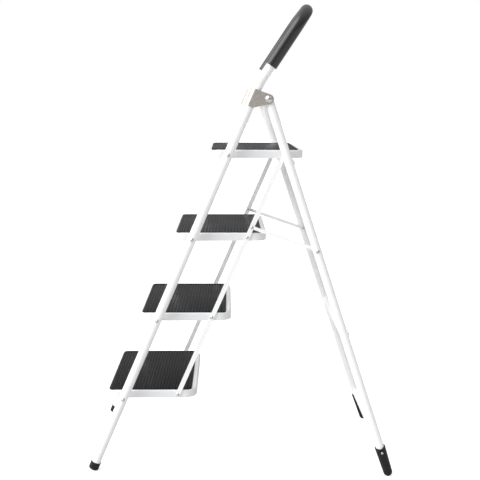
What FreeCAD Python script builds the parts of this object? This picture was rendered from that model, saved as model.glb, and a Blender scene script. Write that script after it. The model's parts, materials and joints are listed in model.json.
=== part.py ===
import FreeCAD, Part
import math
import os

# Folding platform step ladder: four treads on a bent-tube front frame, a hinged rear frame,
# two link bars that keep the treads parallel and two braces that tie the link bars to the
# rear legs. Units are millimetres.
#
# Frame: +Z is up, the user climbs from -Y, the rear legs stand at +Y, and the ladder is
# symmetric about X = 0. The origin is on the floor, at the centre of the bounding box.
#
# The side view is drawn first with the treads level and y = 0 at the lowest tread pivot.
# "Along" is the distance up the front tubes from that pivot, and "behind" the distance square
# to them, to the rear. On the floor the whole ladder stands tipped by tread_tip.

# ---------------------------------------------------------------- driving dimensions
# front frame
tread_count = 4
tread_rise = 230.0            # height from one tread to the next
tread_run = 99.1              # setback from one tread to the next
first_pivot_height = 219.5    # lowest tread pivot above the floor
tread_tip = 1.41              # degrees that the treads tip up to the rear when it stands
frame_width = 439.0           # over the outsides of the front tubes
front_tube_d = 25.4
front_tube_wall = 1.0
neck_above_hinge = 26.0       # where the tubes bend towards the handle, along them
neck_bend_radius = 160.0
handle_lean = 33.5            # degrees from vertical
handle_length = 234.0         # from the neck to the middle of the top bar
handle_corner_radius = 70.0

# hand grip
grip_wall = 4.25
grip_start = 57.0             # from the neck to the grip's lower end
grip_clearance = 0.05

# treads
tread_front = 56.0            # front edge ahead of the pivot
tread_rear = 207.0            # rear edge behind the pivot
tread_corner_radius = 36.0
tread_top = 12.5              # pressed top above the pivot
tread_bottom = 10.0           # skirt's lower edge below the pivot
tread_sheet = 0.8
tread_edge_radius = 4.0
tread_lip = 9.0               # inward flange at the skirt's lower edge
tread_fold_gap = 0.6          # between a tread's top and the next one's skirt, folded
mat_thickness = 1.8
mat_side_margin = 4.5         # bare rim of the tread around the mat
mat_front_margin = 10.0
mat_rear_margin = 14.5
mat_corner_radius = 12.0

# rear frame
hinge_above_platform = 178.7  # from the platform's pivot to the hinge, along the tube
hinge_behind = 40.0
rear_leg_lean = 18.6          # degrees from vertical when the ladder stands open
leg_side_gap = 0.7            # between a rear leg and each cheek of its bracket
rear_leg_wall = 1.0
crossbar_d = 22.0
crossbar_wall = 1.0
upper_bar_offset = 5.0        # upper bar's centre behind the rear legs' centre line
middle_bar_height = 420.8
lower_bar_height = 97.5
saddle_sheet = 1.2
saddle_wrap = 125.0           # degrees that the middle bar's saddle goes round the leg

# hinge brackets
bracket_sheet = 1.8
bracket_below = 37.0          # clamp's lower end below the hinge, along the tube
bracket_above = 11.0
bracket_cheek = 10.0          # how far behind the tube's centre the cheeks keep full height
bracket_nose_radius = 13.5

# link bars and braces
link_width = 13.0
link_thickness = 3.0
link_gap = 1.0                # between the treads' sides and the link bars
brace_width = 9.5
brace_thickness = 2.5
brace_gap = 3.5               # between the link bars and the braces
tube_gap = 5.6                # between the braces and the front tubes
link_to_bar_gap = 6.7         # between the link bars and the upper crossbar behind them
brace_rear_offset = 4.9       # rear rivet below the third pivot's level, along the rear leg

# fasteners
tread_bolt_d = 6.0
tread_bolt_head_d = 11.0
tread_bolt_head_h = 3.4
tread_nut_flats = 10.0
tread_nut_h = 5.0
spacer_d = 10.0
link_rivet_head_d = 10.0
link_rivet_head_h = 2.4
link_rivet_tail_h = 1.6
brace_pin_d = 5.0
brace_pin_head_d = 9.0
brace_pin_head_h = 2.2
brace_ring_h = 1.4
hinge_bolt_d = 8.0
hinge_head_d = 20.0
hinge_head_h = 6.0
hinge_nut_d = 15.0
hinge_nut_h = 7.0
saddle_rivet_head_d = 8.0
saddle_rivet_head_h = 2.6
saddle_rivet_length = 6.0
foot_screw_head_d = 7.0
foot_screw_head_h = 1.6
foot_screw_d = 4.0
foot_screw_length = 8.0

# feet
front_cap_wall = 1.7
front_cap_height = 25.5       # of the cap's rim above the floor
front_cap_round = 3.0         # at the edge of the cap's end
front_sole = 5.0              # plastic under the tube's end
rear_cap_wall = 3.4           # at the ears
rear_cap_taper = 5.0          # how much narrower the cap's tip is than its ears
rear_cap_ear = 11.0           # ears end this far below the lower bar's centre
rear_cap_notch_gap = 2.6      # between the lower bar and the cap's notch
rear_cap_screw_drop = 26.0    # screw below the lower bar's centre, along the leg
rear_cap_plug = 24.0          # solid length under the leg's end
rear_sole_flat = 2.0          # cut from the rounded tip where it stands on the floor
rear_cap_flat = 0.6           # cut from the cap's side as the screw's seat
leg_plug_depth = 16.0

# clearances
running_fit = 0.05            # radial, of a turning pin in its hole
fixed_fit = 0.02              # radial, of a pin that doesn't turn
side_play = 0.3               # between faces that turn past each other
cap_fit = 0.1                 # radial, of a cap on its tube
rest_gap = 0.2                # between the platform and the bar that it rests on

# ---------------------------------------------------------------- side-view geometry
front_tube_r = front_tube_d / 2
rear_leg_d = front_tube_d - 2 * leg_side_gap
rear_leg_r = rear_leg_d / 2
crossbar_r = crossbar_d / 2
grip_d = front_tube_d + 2 * (grip_clearance + grip_wall)
front_cap_d = front_tube_d + 2 * (cap_fit + front_cap_wall)
rear_cap_top_d = rear_leg_d + 2 * (cap_fit + rear_cap_wall)
rear_cap_tip_d = rear_cap_top_d - rear_cap_taper
cheek_x = front_tube_r + bracket_sheet

# Side by side from the front tube inwards: brace, link bar, tread.
tube_x = frame_width / 2 - front_tube_r
brace_outer_x = tube_x - front_tube_r - tube_gap
brace_x = brace_outer_x - brace_thickness
link_outer_x = brace_x - brace_gap
link_x = link_outer_x - link_thickness
tread_x = link_x - link_gap

tread_pitch = math.hypot(tread_rise, tread_run)
frame_lean = math.degrees(math.atan2(tread_run, tread_rise))
hinge_along = (tread_count - 1) * tread_pitch + hinge_above_platform
neck_along = hinge_along + neck_above_hinge
brace_rear_drop = hinge_along - 2 * tread_pitch + brace_rear_offset


def point(x, y, z):
    return FreeCAD.Vector(x, y, z)


X_AXIS = point(1, 0, 0)


def leaning(angle):
    """Upward unit vector in the side view, leaning back by angle degrees."""
    return point(0, math.sin(math.radians(angle)), math.cos(math.radians(angle)))


def square_to(direction):
    """Unit vector square to a side-view direction, to the rear."""
    return point(0, direction.z, -direction.y)


tube_up = leaning(frame_lean)
tube_back = square_to(tube_up)
floor_up = leaning(tread_tip)
pivots = [point(0, i * tread_run, first_pivot_height + i * tread_rise) for i in range(tread_count)]


def beside_tube(along, behind):
    return pivots[0] + tube_up * along + tube_back * behind


def at(x, side_point):
    """The side-view point moved out to x."""
    return point(x, side_point.y, side_point.z)


def above_floor(start, direction, height):
    """Where a side-view line through start reaches a height above the floor."""
    return start + direction * ((height - start.dot(floor_up)) / direction.dot(floor_up))


neck = beside_tube(neck_along, 0)
handle_up = leaning(handle_lean)
hinge = beside_tube(hinge_along, hinge_behind)
leg_up = leaning(-rear_leg_lean)
leg_back = square_to(leg_up)


def on_leg(height):
    """Point on the rear legs' centre line at a height above the floor."""
    return above_floor(hinge, leg_up, height)


# The platform rests on the upper crossbar, and the link bars pass in front of it.
upper_bar_level = pivots[-1].z - tread_bottom - rest_gap - crossbar_r
upper_bar_drop = (hinge.z + upper_bar_offset * leg_back.z - upper_bar_level) / leg_up.z
upper_bar = hinge + leg_back * upper_bar_offset - leg_up * upper_bar_drop
middle_bar = on_leg(middle_bar_height)
lower_bar = on_leg(lower_bar_height)
link_behind = (upper_bar - pivots[0]).dot(tube_back) - crossbar_r - link_to_bar_gap - link_width / 2
link_reach = link_behind / tube_back.y
link_pivots = [p + point(0, link_reach, 0) for p in pivots]
brace_rear = hinge - leg_up * brace_rear_drop

# The skirts stay flat past the washers of the link bars.
tread_corner = min(tread_corner_radius, tread_rear - link_reach - link_rivet_head_d / 2)

# The treads fold up until each lies on the next one, or the link bars meet the spacers.
stacked = (tread_top + tread_bottom + tread_fold_gap) / tread_pitch
against_spacers = (link_width / 2 + spacer_d / 2 + side_play) / link_reach
tread_fold = 90 - frame_lean - math.degrees(math.asin(max(stacked, against_spacers)))
# The rear legs fold until they lie parallel with the front tubes.
leg_fold = frame_lean + rear_leg_lean

# The brace's front pin sits on the link bar where the same brace length closes the
# linkage both open and folded.
folded_link = pivots[2] + leaning(90 - tread_fold) * link_reach
folded_rear = hinge - tube_up * brace_rear_drop
open_span = link_pivots[2] - brace_rear
folded_span = folded_link - folded_rear
brace_pin_up = ((open_span.Length ** 2 - folded_span.Length ** 2)
                / (2 * tube_up.dot(folded_span - open_span)))
brace_front = link_pivots[2] + tube_up * brace_pin_up
brace_folded = folded_rear - (folded_link + tube_up * brace_pin_up)
brace_fold = math.degrees((brace_rear - brace_front).getAngle(brace_folded))


# ---------------------------------------------------------------- shape helpers
def rod(start, end, radius):
    span = end - start
    return Part.makeCylinder(radius, span.Length, start, span)


def fused(pieces):
    whole = pieces[0].multiFuse(pieces[1:]) if len(pieces) > 1 else pieces[0]
    return whole.removeSplitter()


def bent_rod(points, bend_radii, radius):
    """Round bar through points, with an arc at each corner between them."""
    pieces = []
    start = points[0]
    for before, corner, after, bend in zip(points, points[1:], points[2:], bend_radii):
        back = (before - corner).normalize()
        ahead = (after - corner).normalize()
        half = back.getAngle(ahead) / 2
        enter = corner + back * (bend / math.tan(half))
        leave = corner + ahead * (bend / math.tan(half))
        centre = corner + (back + ahead).normalize() * (bend / math.sin(half))
        pieces.append(rod(start, enter, radius))
        disc = Part.Face(Part.Wire(Part.makeCircle(radius, enter, back)))
        turn_axis = (enter - centre).cross(leave - centre)
        pieces.append(disc.revolve(centre, turn_axis, 180 - math.degrees(2 * half)))
        start = leave
    pieces.append(rod(start, points[-1], radius))
    return fused(pieces)


def dome(base, outward, diameter, height):
    """Low rounded rivet or bolt head on the plane through base."""
    radius = diameter / 2
    ball = (radius ** 2 + height ** 2) / (2 * height)
    sphere = Part.makeSphere(ball, base - outward * (ball - height))
    return sphere.common(rod(base, base + outward * (height + 1), radius + 1))


def both_sides(shape):
    """The shape and its mirror image, as one group of solids."""
    return Part.makeCompound([shape, mirrored(shape)])


def mirrored(shape):
    return shape.mirror(point(0, 0, 0), X_AXIS)


def rounded_plate(x_half, y_front, y_rear, corner, z_low, z_high):
    """Flat block with rounded corners in plan."""
    block = Part.makeBox(2 * x_half, y_rear - y_front, z_high - z_low, point(-x_half, y_front, z_low))
    uprights = [e for e in block.Edges if abs(e.tangentAt(e.FirstParameter).z) > 0.9]
    return block.makeFillet(corner, uprights)


def slotted_bar(start, end, width, x_low, x_high):
    """Flat bar with round ends between two side-view points, from x_low to x_high."""
    across = (end - start).normalize().cross(X_AXIS) * (width / 2)
    corners = [at(x_low, p) for p in (start + across, end + across, end - across, start - across)]
    slab = Part.Face(Part.makePolygon(corners + corners[:1])).extrude(X_AXIS * (x_high - x_low))
    ends = [rod(at(x_low, p), at(x_high, p), width / 2) for p in (start, end)]
    return fused([slab] + ends)


def hex_nut(x_outer, side_point, flats, height):
    """Hexagon nut whose outer face is at x_outer, on the inner side of it."""
    radius = flats / math.sqrt(3)
    corners = []
    for k in range(7):
        angle = math.radians(60 * k)
        corner = point(0, math.cos(angle), math.sin(angle)) * radius
        corners.append(at(x_outer, side_point) + corner)
    return Part.Face(Part.makePolygon(corners)).extrude(X_AXIS * -height)


# ---------------------------------------------------------------- front frame
def front_cap_end():
    """Centre of the front caps' end, whose rounded rear edge stands on the floor."""
    edge_back = front_cap_d / 2 - front_cap_round
    height = front_cap_round * (1 - tube_up.dot(floor_up)) - edge_back * tube_back.dot(floor_up)
    return above_floor(pivots[0], tube_up, height)


def frame_path():
    """Centre line of the front tube, from the right foot over the handle to the left foot."""
    foot = front_cap_end() + tube_up * front_sole
    top = neck + handle_up * handle_length
    right = [at(tube_x, p) for p in (foot, neck, top)]
    left = [at(-tube_x, p) for p in (top, neck, foot)]
    return right + left


frame_bends = [neck_bend_radius, handle_corner_radius, handle_corner_radius, neck_bend_radius]


def front_frame_tube():
    outer = bent_rod(frame_path(), frame_bends, front_tube_r)
    bore = bent_rod(frame_path(), frame_bends, front_tube_r - front_tube_wall)
    shape = outer.cut(bore)
    for pivot in pivots:
        reach = tube_x + front_tube_d
        shape = shape.cut(rod(at(-reach, pivot), at(reach, pivot), tread_bolt_d / 2 + fixed_fit))
    return shape


def hand_grip():
    start = neck + handle_up * grip_start
    top = neck + handle_up * handle_length
    path = [at(tube_x, start), at(tube_x, top), at(-tube_x, top), at(-tube_x, start)]
    bends = [handle_corner_radius] * 2
    return bent_rod(path, bends, grip_d / 2).cut(bent_rod(path, bends, front_tube_r + grip_clearance))


def front_foot_cap():
    """Round cap, square to the tube."""
    end = at(tube_x, front_cap_end())
    rim = at(tube_x, above_floor(pivots[0], tube_up, front_cap_height))
    body = rod(end, rim, front_cap_d / 2)
    body = body.makeFillet(front_cap_round, [e for e in body.Edges if e.CenterOfMass.isEqual(end, 0.1)])
    seat = frame_path()[0]
    return body.cut(rod(seat, seat + tube_up * (2 * front_cap_height), front_tube_r + cap_fit))


def tread_bolt(pivot):
    head_x = tube_x + front_tube_r
    end_x = tread_x - tread_sheet - side_play - tread_nut_h - 1
    shank = rod(at(end_x, pivot), at(head_x, pivot), tread_bolt_d / 2)
    return fused([shank, dome(at(head_x, pivot), X_AXIS, tread_bolt_head_d, tread_bolt_head_h)])


def tread_spacer(pivot):
    start, end = at(tread_x + side_play, pivot), at(tube_x, pivot)
    sleeve = rod(start, end, spacer_d / 2).cut(rod(start, end, tread_bolt_d / 2 + fixed_fit))
    tube = rod(at(tube_x, pivot - tube_up * spacer_d), at(tube_x, pivot + tube_up * spacer_d), front_tube_r)
    return sleeve.cut(tube)


def tread_nut(pivot):
    face_x = tread_x - tread_sheet - side_play
    nut = hex_nut(face_x, pivot, tread_nut_flats, tread_nut_h)
    hole = rod(at(face_x - 2 * tread_nut_h, pivot), at(face_x + 1, pivot), tread_bolt_d / 2 + fixed_fit)
    return nut.cut(hole)


# ---------------------------------------------------------------- hinges
def hinge_bracket():
    """Sheet clamp round the front of the tube, with two cheeks that hold the rear leg."""
    low, high = hinge_along - bracket_below, hinge_along + bracket_above
    corners = [(low, -front_tube_d), (high, -front_tube_d), (high, bracket_cheek), (low, bracket_cheek)]
    left_x = at(tube_x - front_tube_d, point(0, 0, 0)).x
    width = X_AXIS * (2 * front_tube_d)
    plan = [at(left_x, beside_tube(a, b)) for a, b in corners]
    outline = Part.Face(Part.makePolygon(plan + plan[:1])).extrude(width)
    nose = rod(at(left_x, hinge), at(left_x, hinge) + width, bracket_nose_radius)
    top = tangent_point(beside_tube(high, bracket_cheek), 1)
    bottom = tangent_point(beside_tube(low, bracket_cheek), -1)
    web = [beside_tube(low, bracket_cheek), bottom, hinge, top, beside_tube(high, bracket_cheek)]
    web = [at(left_x, p) for p in web]
    outline = fused([outline, Part.Face(Part.makePolygon(web + web[:1])).extrude(width), nose])
    shell = channel(cheek_x).cut(channel(front_tube_r))
    shape = shell.common(outline)
    hole = rod(at(left_x, hinge), at(left_x, hinge) + width, hinge_bolt_d / 2 + fixed_fit)
    return shape.cut(hole)


def tangent_point(start, side):
    """Where a line from start touches the bracket's nose circle, on its upper (+1) or lower side."""
    to_hinge = hinge - start
    reach = math.sqrt(to_hinge.Length ** 2 - bracket_nose_radius ** 2)
    angle = math.asin(bracket_nose_radius / to_hinge.Length) * side
    flat = to_hinge.normalize()
    turned = point(0, flat.y * math.cos(angle) - flat.z * math.sin(angle),
                   flat.y * math.sin(angle) + flat.z * math.cos(angle))
    return start + turned * reach


def channel(radius):
    """Solid U section round the front tube: a round front and flat sides to the rear."""
    low = at(tube_x, beside_tube(hinge_along - 3 * bracket_below, 0))
    high = at(tube_x, beside_tube(hinge_along + 3 * bracket_below, 0))
    depth = tube_back * (2 * hinge_behind)
    side = X_AXIS * radius
    wall = Part.Face(Part.makePolygon([low - side, low + side, high + side, high - side, low - side]))
    return fused([rod(low, high, radius), wall.extrude(depth)])


def hinge_bolt():
    outer, inner = tube_x + cheek_x, tube_x - cheek_x - hinge_nut_h / 2
    shank = rod(at(inner, hinge), at(outer, hinge), hinge_bolt_d / 2)
    return fused([shank, dome(at(outer, hinge), X_AXIS, hinge_head_d, hinge_head_h)])


def hinge_nut():
    base = at(tube_x - cheek_x, hinge)
    skirt = rod(base, base - X_AXIS * (hinge_nut_h / 2), hinge_nut_d / 2)
    crown = dome(base - X_AXIS * (hinge_nut_h / 2), X_AXIS * -1, hinge_nut_d, hinge_nut_h / 2)
    hole = rod(base, base - X_AXIS * (hinge_nut_h / 2), hinge_bolt_d / 2 + fixed_fit)
    return fused([skirt, crown]).cut(hole)


# ---------------------------------------------------------------- treads
def tread_pan(pivot):
    front, rear = pivot.y - tread_front, pivot.y + tread_rear
    low, high = pivot.z - tread_bottom, pivot.z + tread_top
    block = rounded_plate(tread_x, front, rear, tread_corner, low, high)
    rim = [e for e in block.Edges if e.BoundBox.ZMin > high - 0.01]
    block = block.makeFillet(tread_edge_radius, rim)
    room = rounded_plate(tread_x - tread_sheet, front + tread_sheet, rear - tread_sheet,
                         tread_corner - tread_sheet, low + tread_sheet, high - tread_sheet)
    rim = [e for e in room.Edges if e.BoundBox.ZMin > high - tread_sheet - 0.01]
    room = room.makeFillet(tread_edge_radius - tread_sheet, rim)
    mouth = rounded_plate(tread_x - tread_lip, front + tread_lip, rear - tread_lip,
                          tread_corner - tread_lip, low - 1, low + 2 * tread_sheet)
    shape = block.cut(room).cut(mouth)
    for hole in (pivot, pivot + point(0, link_reach, 0)):
        ends = at(-tread_x - 1, hole), at(tread_x + 1, hole)
        shape = shape.cut(rod(*ends, tread_bolt_d / 2 + running_fit))
    return shape


def tread_mat(pivot):
    return rounded_plate(tread_x - mat_side_margin, pivot.y - tread_front + mat_front_margin,
                         pivot.y + tread_rear - mat_rear_margin, mat_corner_radius,
                         pivot.z + tread_top, pivot.z + tread_top + mat_thickness)


# ---------------------------------------------------------------- link bars and braces
def link_bar():
    shape = slotted_bar(link_pivots[0], link_pivots[-1], link_width, link_x, link_outer_x)
    for pivot in link_pivots:
        ends = at(link_x - 1, pivot), at(link_outer_x + 1, pivot)
        shape = shape.cut(rod(*ends, tread_bolt_d / 2 + fixed_fit))
    pin = rod(at(link_x - 1, brace_front), at(link_outer_x + 1, brace_front), brace_pin_d / 2 + fixed_fit)
    return shape.cut(pin)


def link_rivet(pivot):
    tail_x = tread_x - tread_sheet - side_play
    shank = rod(at(tail_x, pivot), at(link_outer_x, pivot), tread_bolt_d / 2)
    head = dome(at(link_outer_x, pivot), X_AXIS, link_rivet_head_d, link_rivet_head_h)
    tail = dome(at(tail_x, pivot), X_AXIS * -1, link_rivet_head_d, link_rivet_tail_h)
    return fused([shank, head, tail])


def link_washer(pivot):
    start, end = at(tread_x + side_play, pivot), at(link_x, pivot)
    return rod(start, end, link_rivet_head_d / 2).cut(rod(start, end, tread_bolt_d / 2 + fixed_fit))


def brace_pin():
    """Pin on the link bar that the brace's front end turns on."""
    shank = rod(at(link_x, brace_front), at(brace_outer_x + side_play, brace_front), brace_pin_d / 2)
    collar = rod(at(link_outer_x, brace_front), at(brace_x - side_play, brace_front), brace_pin_head_d / 2)
    head = dome(at(brace_outer_x + side_play, brace_front), X_AXIS, brace_pin_head_d, brace_pin_head_h)
    return fused([shank, collar, head])


def brace():
    shape = slotted_bar(brace_front, brace_rear, brace_width, brace_x, brace_outer_x)
    for pivot, fit in ((brace_front, running_fit), (brace_rear, fixed_fit)):
        ends = at(brace_x - 1, pivot), at(brace_outer_x + 1, pivot)
        shape = shape.cut(rod(*ends, brace_pin_d / 2 + fit))
    return shape


def brace_rear_tail():
    """Inner end of the brace's rear rivet, which stays in the brace."""
    shank = rod(at(brace_x, brace_rear), at(brace_outer_x, brace_rear), brace_pin_d / 2)
    ring = rod(at(brace_x - brace_ring_h, brace_rear), at(brace_x, brace_rear), brace_pin_head_d / 2)
    bore = rod(at(brace_x - brace_ring_h, brace_rear), at(brace_x, brace_rear), brace_pin_d / 4)
    return fused([shank, ring]).cut(bore)


# ---------------------------------------------------------------- rear frame
def leg_rod(radius, low_height):
    """Bar on the right rear leg's centre line, rounded over the hinge bolt at its top."""
    foot = at(tube_x, on_leg(low_height))
    top = at(tube_x, hinge)
    rounding = rod(top - X_AXIS * rear_leg_d, top + X_AXIS * rear_leg_d, radius)
    crown = rod(top, top + leg_up * (radius + 1), radius).common(rounding)
    return fused([rod(foot, top, radius), crown])


def leg_bolt_hole():
    ends = at(tube_x - rear_leg_d, hinge), at(tube_x + rear_leg_d, hinge)
    return rod(*ends, hinge_bolt_d / 2 + running_fit)


leg_end_height = rear_cap_plug * leg_up.dot(floor_up)
saddle_rivet_seat = at(tube_x, middle_bar) + leg_back * (rear_leg_r + saddle_sheet)


def rear_leg():
    inner = rear_leg_r - rear_leg_wall
    bore = rod(at(tube_x, on_leg(leg_end_height)), at(tube_x, hinge) + leg_up * rear_leg_d, inner)
    shape = leg_rod(rear_leg_r, leg_end_height).cut(bore).cut(leg_bolt_hole())
    rivet_end = at(tube_x - rear_leg_d, brace_rear), at(tube_x + rear_leg_d, brace_rear)
    shape = shape.cut(rod(*rivet_end, brace_pin_d / 2 + fixed_fit))
    saddle_hole = rod(at(tube_x, middle_bar), saddle_rivet_seat, brace_pin_d / 2 + fixed_fit)
    screw_seat = foot_screw_seat()
    screw_hole = rod(screw_seat - X_AXIS * rear_leg_r, screw_seat, foot_screw_d / 2 + fixed_fit)
    return shape.cut(saddle_hole).cut(screw_hole)


def leg_top_plug():
    inner = rear_leg_r - rear_leg_wall
    start = at(tube_x, hinge - leg_up * leg_plug_depth)
    end = at(tube_x, hinge) + leg_up * rear_leg_d
    rounding = leg_rod(rear_leg_r, middle_bar_height)
    return rod(start, end, inner).common(rounding).cut(leg_bolt_hole())


def legs_solid():
    leg = leg_rod(rear_leg_r, leg_end_height)
    return fused([leg, mirrored(leg)])


def crossbar(side_point, end_x):
    """Round tube between the rear legs, coped to their outsides."""
    ends = at(-end_x, side_point), at(end_x, side_point)
    bar = rod(*ends, crossbar_r).cut(rod(*ends, crossbar_r - crossbar_wall))
    return bar.cut(legs_solid())


def upper_crossbar():
    return main_solid(crossbar(upper_bar, tube_x))


def upper_bar_plug():
    """Plastic plug in the part of the upper bar's end that shows behind the leg."""
    start, end = at(tube_x - rear_leg_d, upper_bar), at(tube_x + 1, upper_bar)
    plug = rod(start, end, crossbar_r - crossbar_wall)
    flange = rod(at(tube_x, upper_bar), end, crossbar_r)
    return main_solid(fused([plug, flange]).cut(legs_solid()))


def main_solid(shape):
    return max(shape.Solids, key=lambda solid: solid.Volume)


def middle_crossbar():
    """Coped tube with a sheet saddle riveted behind each leg."""
    low = at(tube_x, middle_bar) - leg_up * crossbar_r
    start = math.radians(180 - saddle_wrap)
    outward = X_AXIS * math.cos(start) + leg_back * math.sin(start)
    edge = [low + outward * rear_leg_r, low + outward * (rear_leg_r + saddle_sheet)]
    edge += [p + leg_up * crossbar_d for p in reversed(edge)]
    saddle = Part.Face(Part.makePolygon(edge + edge[:1])).revolve(low, leg_up, saddle_wrap)
    hole = rod(at(tube_x, middle_bar), saddle_rivet_seat + leg_back, brace_pin_d / 2 + fixed_fit)
    saddle = saddle.cut(hole)
    bar = main_solid(crossbar(middle_bar, tube_x))
    return fused([bar, saddle, mirrored(saddle)])


def lower_crossbar():
    return main_solid(crossbar(lower_bar, tube_x))


def saddle_rivet():
    shank = rod(saddle_rivet_seat - leg_back * saddle_rivet_length, saddle_rivet_seat, brace_pin_d / 2)
    return fused([shank, dome(saddle_rivet_seat, leg_back, saddle_rivet_head_d, saddle_rivet_head_h)])


def brace_rear_rivet():
    """Leg side of the brace's rear rivet: head, shank through the leg and inner collar."""
    head_x, end_x = tube_x + rear_leg_r, brace_outer_x + side_play
    shank = rod(at(end_x, brace_rear), at(head_x, brace_rear), brace_pin_d / 2)
    collar = rod(at(end_x, brace_rear), at(tube_x - rear_leg_r + 1, brace_rear), brace_pin_head_d / 2)
    collar = collar.cut(leg_rod(rear_leg_r, middle_bar_height))
    head = dome(at(head_x, brace_rear), X_AXIS, tread_bolt_head_d, brace_pin_head_h)
    return fused([shank, collar, head])


def foot_screw_seat():
    seat = lower_bar - leg_up * rear_cap_screw_drop
    return at(tube_x + rear_cap_side_r() - rear_cap_flat, seat)


def rear_cap_side_r():
    """Radius of the tapered cap at the screw's level."""
    share = (rear_cap_screw_drop - rear_cap_ear) / rear_cap_length()
    return (rear_cap_top_d + (rear_cap_tip_d - rear_cap_top_d) * share) / 2


def rear_cap_length():
    """Tapered length, from the ears to the centre of the rounded tip."""
    tip_height = rear_cap_tip_d / 2 - rear_sole_flat
    return (lower_bar_height - tip_height) / leg_up.dot(floor_up) - rear_cap_ear


def below_floor():
    """Big block under the floor, which cuts the rear caps flat."""
    depth, reach = 200, 2000
    block = Part.makeBox(2 * reach, 2 * reach, depth, point(-reach, -reach, -depth))
    block.rotate(point(0, 0, 0), X_AXIS, -tread_tip)
    return block


def rear_foot_cap():
    """Tapered shoe with two ears, a notch that clears the lower bar, and a flat to stand on."""
    ears = at(tube_x, lower_bar - leg_up * rear_cap_ear)
    length = rear_cap_length()
    tip = ears - leg_up * length
    taper = Part.makeCone(rear_cap_top_d / 2, rear_cap_tip_d / 2, length, ears, leg_up * -1)
    body = fused([taper, Part.makeSphere(rear_cap_tip_d / 2, tip)]).cut(below_floor())
    seat = at(tube_x, on_leg(leg_end_height))
    body = body.cut(rod(seat, ears + leg_up, rear_leg_r + cap_fit))
    bar = at(0, lower_bar), at(tube_x + rear_cap_top_d, lower_bar)
    body = body.cut(rod(*bar, crossbar_r + rear_cap_notch_gap))
    screw = foot_screw_seat()
    body = body.cut(rod(screw, screw + X_AXIS * 5, foot_screw_head_d / 2 + 1))
    body = body.cut(rod(screw - X_AXIS * foot_screw_length, screw, foot_screw_d / 2 + fixed_fit))
    return main_solid(body)


def foot_screw():
    seat = foot_screw_seat()
    shank = rod(seat - X_AXIS * foot_screw_length, seat, foot_screw_d / 2)
    return fused([shank, dome(seat, X_AXIS, foot_screw_head_d, foot_screw_head_h)])


# ---------------------------------------------------------------- nodes
nodes = {
    "front_frame_tube": front_frame_tube(),
    "hand_grip": hand_grip(),
    "tread_pivot_bolts": Part.makeCompound([both_sides(tread_bolt(p)) for p in pivots]),
    "tread_pivot_spacers": Part.makeCompound([both_sides(tread_spacer(p)) for p in pivots]),
    "tread_pivot_nuts": Part.makeCompound([both_sides(tread_nut(p)) for p in pivots]),
    "hinge_bolts": both_sides(hinge_bolt()),
    "hinge_cap_nuts": both_sides(hinge_nut()),
    "upper_crossbar": upper_crossbar(),
    "upper_crossbar_plugs": both_sides(upper_bar_plug()),
    "middle_crossbar": middle_crossbar(),
    "middle_crossbar_rivets": both_sides(saddle_rivet()),
    "lower_crossbar": lower_crossbar(),
    "rear_leg_top_plugs": both_sides(leg_top_plug()),
    "brace_rear_rivets": both_sides(brace_rear_rivet()),
    "rear_foot_screws": both_sides(foot_screw()),
}

right_side = {
    "hinge_bracket": hinge_bracket(),
    "front_foot_cap": front_foot_cap(),
    "rear_leg": rear_leg(),
    "rear_foot_cap": rear_foot_cap(),
    "link_bar": link_bar(),
    "link_bar_rivets": Part.makeCompound([link_rivet(p) for p in link_pivots]),
    "link_bar_washers": Part.makeCompound([link_washer(p) for p in link_pivots]),
    "brace_pin": brace_pin(),
    "brace": brace(),
    "brace_rear_tail": brace_rear_tail(),
}
for name, shape in right_side.items():
    nodes["right_" + name] = shape
    nodes["left_" + name] = mirrored(shape)

tread_names = ["step_%d" % (i + 1) for i in range(tread_count - 1)] + ["platform"]
for name, pivot in zip(tread_names, pivots):
    nodes[name + "_pan"] = tread_pan(pivot)
    nodes[name + "_mat"] = tread_mat(pivot)

# ---------------------------------------------------------------- stand, origin and export
for shape in nodes.values():
    shape.rotate(point(0, 0, 0), X_AXIS, tread_tip)
box = Part.makeCompound(list(nodes.values())).optimalBoundingBox(False, False)
to_origin = point(0, -(box.YMin + box.YMax) / 2, -box.ZMin)

os.makedirs("parts", exist_ok=True)
for name, shape in nodes.items():
    shape.translate(to_origin)
    shape.exportStep("parts/%s.step" % name)


def standing(side_point):
    """A point of the side view's drawing, on the finished ladder."""
    return FreeCAD.Rotation(X_AXIS, tread_tip).multVec(side_point) + to_origin


pivot_places = {
    "hinge": standing(hinge),
    "brace front pin": standing(brace_front),
    "brace rear rivet": standing(brace_rear),
}
for name, pivot, link_pivot in zip(tread_names, pivots, link_pivots):
    pivot_places[name + " pivot"] = standing(pivot)
    pivot_places[name + " link pivot"] = standing(link_pivot)

print("%d nodes, %.1f x %.1f x %.1f mm" % (len(nodes), box.XLength, box.YLength, box.ZLength))
for name, place in pivot_places.items():
    print("%-22s y %8.3f  z %8.3f" % (name, place.y, place.z))
print("link reach %.2f, brace pin %.2f up, treads %.1f wide" % (link_reach, brace_pin_up, 2 * tread_x))
print("fold angles: rear legs %.3f, treads %.3f, braces %.3f degrees" % (leg_fold, tread_fold, brace_fold))
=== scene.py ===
import json
import math

import bpy
from mathutils import Matrix, Vector


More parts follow.
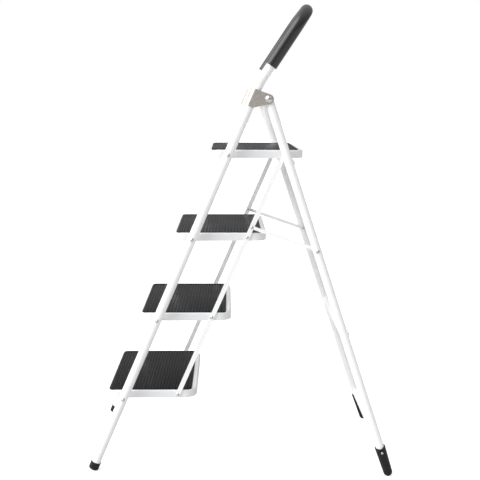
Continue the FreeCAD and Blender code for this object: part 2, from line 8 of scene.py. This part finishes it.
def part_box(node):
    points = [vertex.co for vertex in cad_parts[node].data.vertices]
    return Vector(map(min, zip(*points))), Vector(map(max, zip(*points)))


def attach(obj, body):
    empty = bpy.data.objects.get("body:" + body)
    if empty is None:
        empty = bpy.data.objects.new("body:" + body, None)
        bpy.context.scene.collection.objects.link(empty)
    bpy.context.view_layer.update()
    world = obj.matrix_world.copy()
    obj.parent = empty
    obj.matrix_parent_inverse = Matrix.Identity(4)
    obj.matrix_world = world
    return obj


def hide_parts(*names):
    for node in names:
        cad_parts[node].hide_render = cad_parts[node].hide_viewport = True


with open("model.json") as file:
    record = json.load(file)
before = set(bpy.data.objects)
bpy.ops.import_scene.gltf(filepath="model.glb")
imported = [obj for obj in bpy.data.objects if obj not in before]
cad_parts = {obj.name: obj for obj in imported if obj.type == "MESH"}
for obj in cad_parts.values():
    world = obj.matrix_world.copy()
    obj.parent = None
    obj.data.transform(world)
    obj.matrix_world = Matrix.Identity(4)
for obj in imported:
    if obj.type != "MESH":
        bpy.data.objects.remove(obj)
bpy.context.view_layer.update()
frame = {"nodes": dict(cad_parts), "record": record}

# Looks of a folding platform step ladder: white powder-coated steel, ribbed rubber mats,
# a foam hand grip, plated hinges and bolts, and black plastic feet. Lengths are in metres.
# +Z is up, the user climbs from -Y, and the ladder is symmetric about X = 0.

MM = 0.001

# ---------------------------------------------------------------- sizes
# rubber mats
mat_tip = math.radians(1.41)   # the treads tip up to the rear
mat_thickness = 1.8 * MM
mat_corner = 12 * MM
mat_border = 7 * MM            # plain border round the ribs
mat_field_drop = 1.2 * MM      # the ribs' valleys below the border
mat_edge_round = 0.5 * MM
rib_pitch = 8.8 * MM
rib_width = 4.6 * MM
rib_round = 0.7 * MM
rib_end_gap = 1.5 * MM         # between the ribs' ends and the border
rib_root = 1.4                 # ribs reach down this many times the field's drop

# surface textures, in features per metre
tone_patches = 11.0
dust_patches = 26.0
drawn_lines = (900, 60, 900)   # plating's fine lines, long along y

# studio
floor_size = 80


# ---------------------------------------------------------------- modelling helpers
def deselect_all():
    bpy.ops.object.select_all(action="DESELECT")


def pick(*pieces):
    """Selects these pieces only, with the first one active."""
    deselect_all()
    for piece in pieces:
        piece.select_set(True)
    bpy.context.view_layer.objects.active = pieces[0]


def apply_place(piece):
    pick(piece)
    bpy.ops.object.transform_apply(location=True, rotation=True, scale=True)


def apply_modifier(piece, kind, **settings):
    pick(piece)
    modifier = piece.modifiers.new(kind.lower(), kind)
    for name, value in settings.items():
        setattr(modifier, name, value)
    bpy.ops.object.modifier_apply(modifier=modifier.name)


def edit(piece, select_mode="VERT"):
    """Opens a piece in edit mode with nothing selected."""
    pick(piece)
    bpy.ops.object.mode_set(mode="EDIT")
    bpy.ops.mesh.select_mode(type=select_mode)
    bpy.ops.mesh.select_all(action="DESELECT")
    bpy.ops.object.mode_set(mode="OBJECT")


def select_faces(piece, wanted):
    """Selects the faces that wanted(face) is true for, and returns to edit mode."""
    edit(piece, "FACE")
    for face in piece.data.polygons:
        face.select = wanted(face)
    bpy.ops.object.mode_set(mode="EDIT")


def select_edges(piece, wanted):
    """Selects the edges that wanted(start, end) is true for, and returns to edit mode."""
    edit(piece, "EDGE")
    points = piece.data.vertices
    for edge in piece.data.edges:
        edge.select = wanted(*[points[i].co for i in edge.vertices])
    bpy.ops.object.mode_set(mode="EDIT")


def finish_edit(piece, smooth_angle=math.radians(35)):
    bpy.ops.object.mode_set(mode="OBJECT")
    pick(piece)
    bpy.ops.object.shade_smooth_by_angle(angle=smooth_angle)


# ---------------------------------------------------------------- rubber mats
def mat_base(size):
    """Flat mat round the origin, with rounded corners, a raised border and a lower field."""
    bpy.ops.mesh.primitive_plane_add(size=1, location=(0, 0, -size.z / 2))
    base = bpy.context.object
    base.scale = (size.x, size.y, 1)
    apply_place(base)
    bpy.ops.object.mode_set(mode="EDIT")
    bpy.ops.mesh.select_all(action="SELECT")
    bpy.ops.mesh.bevel(offset=mat_corner, segments=7, affect="VERTICES")
    bpy.ops.mesh.select_all(action="SELECT")
    bpy.ops.mesh.extrude_region_move(TRANSFORM_OT_translate={"value": (0, 0, size.z)})
    bpy.ops.mesh.select_all(action="SELECT")
    bpy.ops.mesh.normals_make_consistent(inside=False)
    bpy.ops.object.mode_set(mode="OBJECT")
    top = size.z / 2 - mat_edge_round
    select_edges(base, lambda a, b: a.z > top and b.z > top)
    bpy.ops.mesh.bevel(offset=mat_edge_round, segments=2, affect="EDGES")
    bpy.ops.object.mode_set(mode="OBJECT")
    widest = size.x * size.y / 2
    select_faces(base, lambda f: f.normal.z > 0.99 and f.area > widest)
    bpy.ops.mesh.inset(thickness=mat_border - mat_edge_round)
    bpy.ops.mesh.extrude_region_move(TRANSFORM_OT_translate={"value": (0, 0, -mat_field_drop)})
    finish_edit(base)
    return base


def mat_ribs(size):
    """Ribs along the tread's width, with rounded tops, level with the mat's border."""
    reach = mat_border + rib_end_gap
    count = int((size.y - 2 * reach - rib_width) / rib_pitch) + 1
    first = -(count - 1) * rib_pitch / 2
    height = rib_root * mat_field_drop
    bpy.ops.mesh.primitive_cube_add(size=1, location=(0, first, (size.z - height) / 2))
    rib = bpy.context.object
    rib.scale = (size.x - 2 * reach, rib_width, height)
    apply_place(rib)
    top = size.z / 2 - rib_round
    select_edges(rib, lambda a, b: a.z > top and b.z > top)
    bpy.ops.mesh.bevel(offset=rib_round, segments=3, affect="EDGES")
    finish_edit(rib)
    apply_modifier(rib, "ARRAY", count=count, use_relative_offset=False, use_constant_offset=True,
                   constant_offset_displace=(0, rib_pitch, 0))
    return rib


def ribbed_mat(tread):
    """The tread's mat, modelled flat and then tipped into the place of the plain one."""
    node = tread + "_mat"
    low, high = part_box(node)
    extent = high - low
    depth = (extent.y - mat_thickness * math.sin(mat_tip)) / math.cos(mat_tip)
    size = Vector((extent.x, depth, mat_thickness))
    mat = mat_base(size)
    pick(mat, mat_ribs(size))
    bpy.ops.object.join()
    mat.name = tread + "_ribbed_mat"
    mat.location = (low + high) / 2
    mat.rotation_euler.x = mat_tip
    apply_place(mat)
    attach(mat, tread)
    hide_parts(node)
    return mat


# ---------------------------------------------------------------- material helpers
class Board:
    """A node tree with short calls for adding and joining its nodes."""

    def __init__(self, tree):
        self.tree = tree

    def add(self, kind, settings=None, **inputs):
        """Adds a node. Inputs are values, or outputs of other nodes to join."""
        node = self.tree.nodes.new(kind)
        for name, value in (settings or {}).items():
            setattr(node, name, value)
        for name, value in inputs.items():
            socket = node.inputs[name.replace("_", " ")]
            if isinstance(value, bpy.types.NodeSocket):
                self.tree.links.new(value, socket)
            else:
                socket.default_value = value
        return node

    def math(self, operation, a, b=0.0, clamp=False):
        node = self.add("ShaderNodeMath", {"operation": operation, "use_clamp": clamp})
        for socket, value in zip(node.inputs, (a, b)):
            if isinstance(value, bpy.types.NodeSocket):
                self.tree.links.new(value, socket)
            else:
                socket.default_value = value
        return node.outputs[0]

    def mix(self, share, a, b):
        """Mixes two colours by a share."""
        node = self.add("ShaderNodeMix", {"data_type": "RGBA"})
        for socket, value in ((node.inputs[0], share), (node.inputs[6], a), (node.inputs[7], b)):
            if isinstance(value, bpy.types.NodeSocket):
                self.tree.links.new(value, socket)
            else:
                socket.default_value = value
        return node.outputs[2]


def node_group(name, takes, gives):
    """New shader group: takes is a list of (name, socket kind, default), gives of (name, kind)."""
    tree = bpy.data.node_groups.new(name, "ShaderNodeTree")
    for label, kind, default in takes:
        socket = tree.interface.new_socket(label, in_out="INPUT", socket_type="NodeSocket" + kind)
        if default is not None:
            socket.default_value = default
    for label, kind in gives:
        tree.interface.new_socket(label, in_out="OUTPUT", socket_type="NodeSocket" + kind)
    board = Board(tree)
    start = tree.nodes.new("NodeGroupInput").outputs
    end = tree.nodes.new("NodeGroupOutput").inputs
    return board, start, end


def grain_group():
    """Fine surface grain and slow changes of tone, for coats, plastics and rubber."""
    board, given, out = node_group(
        "surface_grain",
        [("Place", "Vector", None), ("Colour", "Color", (1, 1, 1, 1)), ("Tone change", "Float", 0.05),
         ("Grains per metre", "Float", 900.0), ("Roughness", "Float", 0.5),
         ("Roughness change", "Float", 0.1)],
        [("Colour", "Color"), ("Roughness", "Float"), ("Height", "Float")])
    fine = board.add("ShaderNodeTexNoise", Vector=given["Place"], Scale=given["Grains per metre"],
                     Detail=3.0, Roughness=0.6)
    slow = board.add("ShaderNodeTexNoise", Vector=given["Place"], Scale=tone_patches,
                     Detail=5.0, Roughness=0.6)
    darker = board.mix(0.35, given["Colour"], (0, 0, 0, 1))
    share = board.math("MULTIPLY", slow.outputs[0], given["Tone change"], clamp=True)
    centred = board.math("SUBTRACT", slow.outputs[0], 0.5)
    swing = board.math("MULTIPLY", centred, given["Roughness change"])
    board.tree.links.new(board.mix(share, given["Colour"], darker), out["Colour"])
    board.tree.links.new(board.math("ADD", given["Roughness"], swing, clamp=True), out["Roughness"])
    board.tree.links.new(fine.outputs[0], out["Height"])
    return board.tree


def dust_group():
    """Pale dust that settles on faces that look up, in patches."""
    board, given, out = node_group(
        "settled_dust",
        [("Place", "Vector", None), ("Colour", "Color", (0, 0, 0, 1)),
         ("Dust", "Color", (0.5, 0.48, 0.45, 1)), ("Amount", "Float", 0.1)],
        [("Colour", "Color"), ("Mask", "Float")])
    normal = board.add("ShaderNodeNewGeometry").outputs["Normal"]
    upward = board.add("ShaderNodeSeparateXYZ", Vector=normal).outputs["Z"]
    facing = board.math("MAXIMUM", upward, 0.0)
    patches = board.add("ShaderNodeTexNoise", Vector=given["Place"], Scale=dust_patches,
                        Detail=6.0, Roughness=0.65)
    spread = board.math("MULTIPLY", facing, patches.outputs[0])
    mask = board.math("MULTIPLY", spread, given["Amount"], clamp=True)
    board.tree.links.new(board.mix(mask, given["Colour"], given["Dust"]), out["Colour"])
    board.tree.links.new(mask, out["Mask"])
    return board.tree


def plating_group():
    """Crystal patches and fine drawn lines of zinc plating."""
    board, given, out = node_group(
        "zinc_plating",
        [("Place", "Vector", None), ("Colour", "Color", (0.6, 0.6, 0.6, 1)),
         ("Patch contrast", "Float", 0.2), ("Patches per metre", "Float", 260.0),
         ("Roughness", "Float", 0.3)],
        [("Colour", "Color"), ("Roughness", "Float"), ("Height", "Float")])
    cells = board.add("ShaderNodeTexVoronoi", Vector=given["Place"], Scale=given["Patches per metre"])
    tone = board.add("ShaderNodeSeparateColor", Color=cells.outputs["Color"]).outputs[0]
    drawn = board.add("ShaderNodeMapping", Vector=given["Place"], Scale=drawn_lines)
    lines = board.add("ShaderNodeTexNoise", Vector=drawn.outputs[0], Scale=2.0, Detail=3.0)
    dark = board.mix(0.5, given["Colour"], (0.02, 0.02, 0.02, 1))
    share = board.math("MULTIPLY", tone, given["Patch contrast"], clamp=True)
    swing = board.math("MULTIPLY", board.math("SUBTRACT", lines.outputs[0], 0.5), 0.3)
    board.tree.links.new(board.mix(share, given["Colour"], dark), out["Colour"])
    board.tree.links.new(board.math("ADD", given["Roughness"], swing, clamp=True), out["Roughness"])
    board.tree.links.new(lines.outputs[0], out["Height"])
    return board.tree


GRAIN = grain_group()
DUST = dust_group()
PLATING = plating_group()


def new_material(name):
    """Empty material: its board, its Object coordinates and its shader."""
    material = bpy.data.materials.new(name)
    material.use_nodes = True
    board = Board(material.node_tree)
    place = board.add("ShaderNodeTexCoord").outputs["Object"]
    return material, board, place, material.node_tree.nodes["Principled BSDF"]


def set_shader(shader, **values):
    for name, value in values.items():
        shader.inputs[name.replace("_", " ")].default_value = value


def join_surface(board, shader, colour, roughness, height, depth):
    """Joins colour, roughness and bump to the shader. Depth is the bump's height in metres."""
    bump = board.add("ShaderNodeBump", Strength=1.0, Distance=depth, Height=height)
    board.tree.links.new(colour, shader.inputs["Base Color"])
    board.tree.links.new(roughness, shader.inputs["Roughness"])
    board.tree.links.new(bump.outputs[0], shader.inputs["Normal"])


def grained(name, colour, roughness, grains=900.0, depth=0.03 * MM, tone_change=0.1,
            roughness_change=0.1, dust=0.0, **shader_values):
    """Material of one colour with fine grain, slow tone changes and a little dust."""
    material, board, place, shader = new_material(name)
    settings = {"Colour": (*colour, 1), "Tone_change": tone_change, "Grains_per_metre": grains,
                "Roughness": roughness, "Roughness_change": roughness_change}
    grain = board.add("ShaderNodeGroup", {"node_tree": GRAIN}, Place=place, **settings)
    tint = grain.outputs["Colour"]
    if dust:
        tint = board.add("ShaderNodeGroup", {"node_tree": DUST}, Place=place, Colour=tint,
                         Amount=dust).outputs["Colour"]
    join_surface(board, shader, tint, grain.outputs["Roughness"], grain.outputs["Height"], depth)
    set_shader(shader, **shader_values)
    return material


def plated(name, colour, roughness, contrast=0.2, patches=260.0, depth=0.01 * MM):
    """Metal with zinc or chrome plating."""
    material, board, place, shader = new_material(name)
    plating = board.add("ShaderNodeGroup", {"node_tree": PLATING}, Place=place, Colour=(*colour, 1),
                        Patch_contrast=contrast, Patches_per_metre=patches, Roughness=roughness)
    join_surface(board, shader, plating.outputs["Colour"], plating.outputs["Roughness"],
                 plating.outputs["Height"], depth)
    set_shader(shader, Metallic=1.0)
    return material


# ---------------------------------------------------------------- materials
powder_coat = grained("white_powder_coat", (0.9, 0.9, 0.905), 0.34, grains=650.0, depth=0.02 * MM,
                      tone_change=0.05, roughness_change=0.12, Coat_Weight=0.3, Coat_Roughness=0.22)
# The treads' coat is the frame's white paint made darker: painted shade, so the tread skirts look
# shaded.
shaded_tread_coat = grained("white_tread_coat", (0.78, 0.785, 0.795), 0.4, grains=480.0, depth=0.03 * MM,
                     tone_change=0.07, roughness_change=0.14, dust=0.05, Coat_Weight=0.2,
                     Coat_Roughness=0.28)
mat_rubber = grained("ribbed_mat_rubber", (0.004, 0.004, 0.005), 0.3, grains=1600.0, depth=0.03 * MM,
                     tone_change=0.5, roughness_change=0.2, dust=0.01, Specular_IOR_Level=0.08)
grip_foam = grained("foam_grip", (0.013, 0.013, 0.014), 0.27, grains=1300.0, depth=0.004 * MM,
                    tone_change=0.3, roughness_change=0.08, dust=0.02, Specular_IOR_Level=0.55)
black_plastic = grained("black_foot_plastic", (0.01, 0.0095, 0.0095), 0.42, grains=1500.0,
                        depth=0.03 * MM, tone_change=0.4, dust=0.03, Specular_IOR_Level=0.25)
white_plastic = grained("white_plug_plastic", (0.8, 0.8, 0.8), 0.4, grains=900.0)
# The brackets' plating is zinc grey; the brownish tint in its colour is a painted reflection of
# brownish surroundings.
zinc_plate = plated("zinc_bracket_plate_reflection_tint", (0.64, 0.595, 0.545), 0.34, contrast=0.3)
bright_plate = plated("bright_bolt_plate", (0.62, 0.61, 0.6), 0.22, contrast=0.1, patches=500.0)
dark_zinc = plated("zinc_fasteners", (0.62, 0.62, 0.62), 0.34, contrast=0.25, patches=600.0)

slot_materials = {
    "frame_white": powder_coat,
    "tread_white": shaded_tread_coat,
    "mat_rubber": mat_rubber,
    "grip_foam": grip_foam,
    "black_plastic": black_plastic,
    "white_plastic": white_plastic,
    "zinc_plate": zinc_plate,
    "bright_plate": bright_plate,
    "dark_zinc": dark_zinc,
}


def dress(piece, material):
    piece.data.materials.clear()
    piece.data.materials.append(material)


deselect_all()
node_slots = {part["node"]: part["material_slot"] for part in frame["record"]["subparts"]}
for node, part in frame["nodes"].items():
    for holder in part.material_slots:
        holder.material = slot_materials[node_slots[node]]

for tread in ("step_1", "step_2", "step_3", "platform"):
    dress(ribbed_mat(tread), mat_rubber)


# ---------------------------------------------------------------- floor, light and camera
def pale_floor():
    bpy.ops.mesh.primitive_plane_add(size=floor_size, location=(0, 0, 0))
    floor = bpy.context.object
    floor.name = "studio_floor"
    material, board, place, shader = new_material("studio_floor_paint")
    speckle = board.add("ShaderNodeTexNoise", Vector=place, Scale=30.0, Detail=4.0)
    tint = board.mix(speckle.outputs[0], (0.56, 0.56, 0.56, 1), (0.6, 0.6, 0.6, 1))
    board.tree.links.new(tint, shader.inputs["Base Color"])
    # The floor looks white to the eye without lighting the ladder more from below.
    to_eye = board.add("ShaderNodeLightPath").outputs["Is Camera Ray"]
    board.tree.links.new(to_eye, shader.inputs["Emission Strength"])
    set_shader(shader, Roughness=0.8, Emission_Color=(0.6, 0.6, 0.6, 1))
    dress(floor, material)


def aim(piece, target):
    """Turns a light so that it shines at target."""
    piece.rotation_euler = (target - piece.location).to_track_quat("-Z", "Y").to_euler()


def broad_sun(name, toward, strength, spread):
    """Even light from a wide part of the sky. Toward points at the light."""
    bpy.ops.object.light_add(type="SUN", location=toward)
    sun = bpy.context.object
    sun.name = name
    sun.data.energy = strength
    sun.data.angle = spread
    aim(sun, Vector((0, 0, 0)))


def studio_sky(seen, base, front, above, right_dim, left_dim):
    """White surroundings of even brightness to the eye, that light the object unevenly: base
    all round, more from the front (-Y) and from above, and less from the right and left."""
    world = bpy.data.worlds.new("studio_sky")
    bpy.context.scene.world = world
    world.use_nodes = True
    board = Board(world.node_tree)
    background = world.node_tree.nodes["Background"]
    direction = board.add("ShaderNodeTexCoord").outputs["Generated"]
    parts = board.add("ShaderNodeSeparateXYZ", Vector=direction).outputs
    toward_front = board.math("MAXIMUM", board.math("MULTIPLY", parts["Y"], -1.0))
    from_front = board.math("MULTIPLY", toward_front, front)
    from_above = board.math("MULTIPLY", board.math("MAXIMUM", parts["Z"]), above)
    all_round = board.math("ADD", board.math("ADD", from_front, from_above), base)
    right = board.math("MULTIPLY", board.math("MAXIMUM", parts["X"]), right_dim)
    left = board.math("MULTIPLY", board.math("MINIMUM", parts["X"]), -left_dim)
    dimmer = board.math("ADD", right, left)
    shed = board.math("MULTIPLY", all_round, board.math("SUBTRACT", 1.0, dimmer))
    path = board.add("ShaderNodeLightPath").outputs["Is Camera Ray"]
    to_eye = board.math("MULTIPLY", path, seen)
    to_object = board.math("MULTIPLY", board.math("SUBTRACT", 1.0, path), shed)
    board.tree.links.new(board.math("ADD", to_eye, to_object), background.inputs["Strength"])
    background.inputs["Color"].default_value = (1, 1, 1, 1)


pale_floor()
studio_sky(seen=1.0, base=0.3, front=1.25, above=0.8, right_dim=0.45, left_dim=0.25)
broad_sun("front_light", (0.55, -1.0, 1.1), strength=2.8, spread=math.radians(60))


def photo_camera(place, turn, tip, roll, lens):
    """Camera that looks along -X, turned, tipped down and rolled by small angles."""
    forward = Vector((-math.cos(turn) * math.cos(tip), -math.sin(turn) * math.cos(tip), -math.sin(tip)))
    right = forward.cross(Vector((0, 0, 1))).normalized()
    up = right.cross(forward)
    level_right, level_up = right, up
    right = level_right * math.cos(roll) + level_up * math.sin(roll)
    up = level_up * math.cos(roll) - level_right * math.sin(roll)
    bpy.ops.object.camera_add(location=place)
    camera = bpy.context.object
    camera.name = "photo_camera"
    camera.rotation_euler = Matrix((right, up, -forward)).transposed().to_euler()
    camera.data.lens = lens
    camera.data.sensor_width = 36
    bpy.context.scene.camera = camera


photo_camera(place=(2.2826, -0.0687, 1.0564), turn=-0.0221, tip=0.177, roll=0.0289, lens=57.55)
bpy.context.scene.view_settings.view_transform = "Standard"
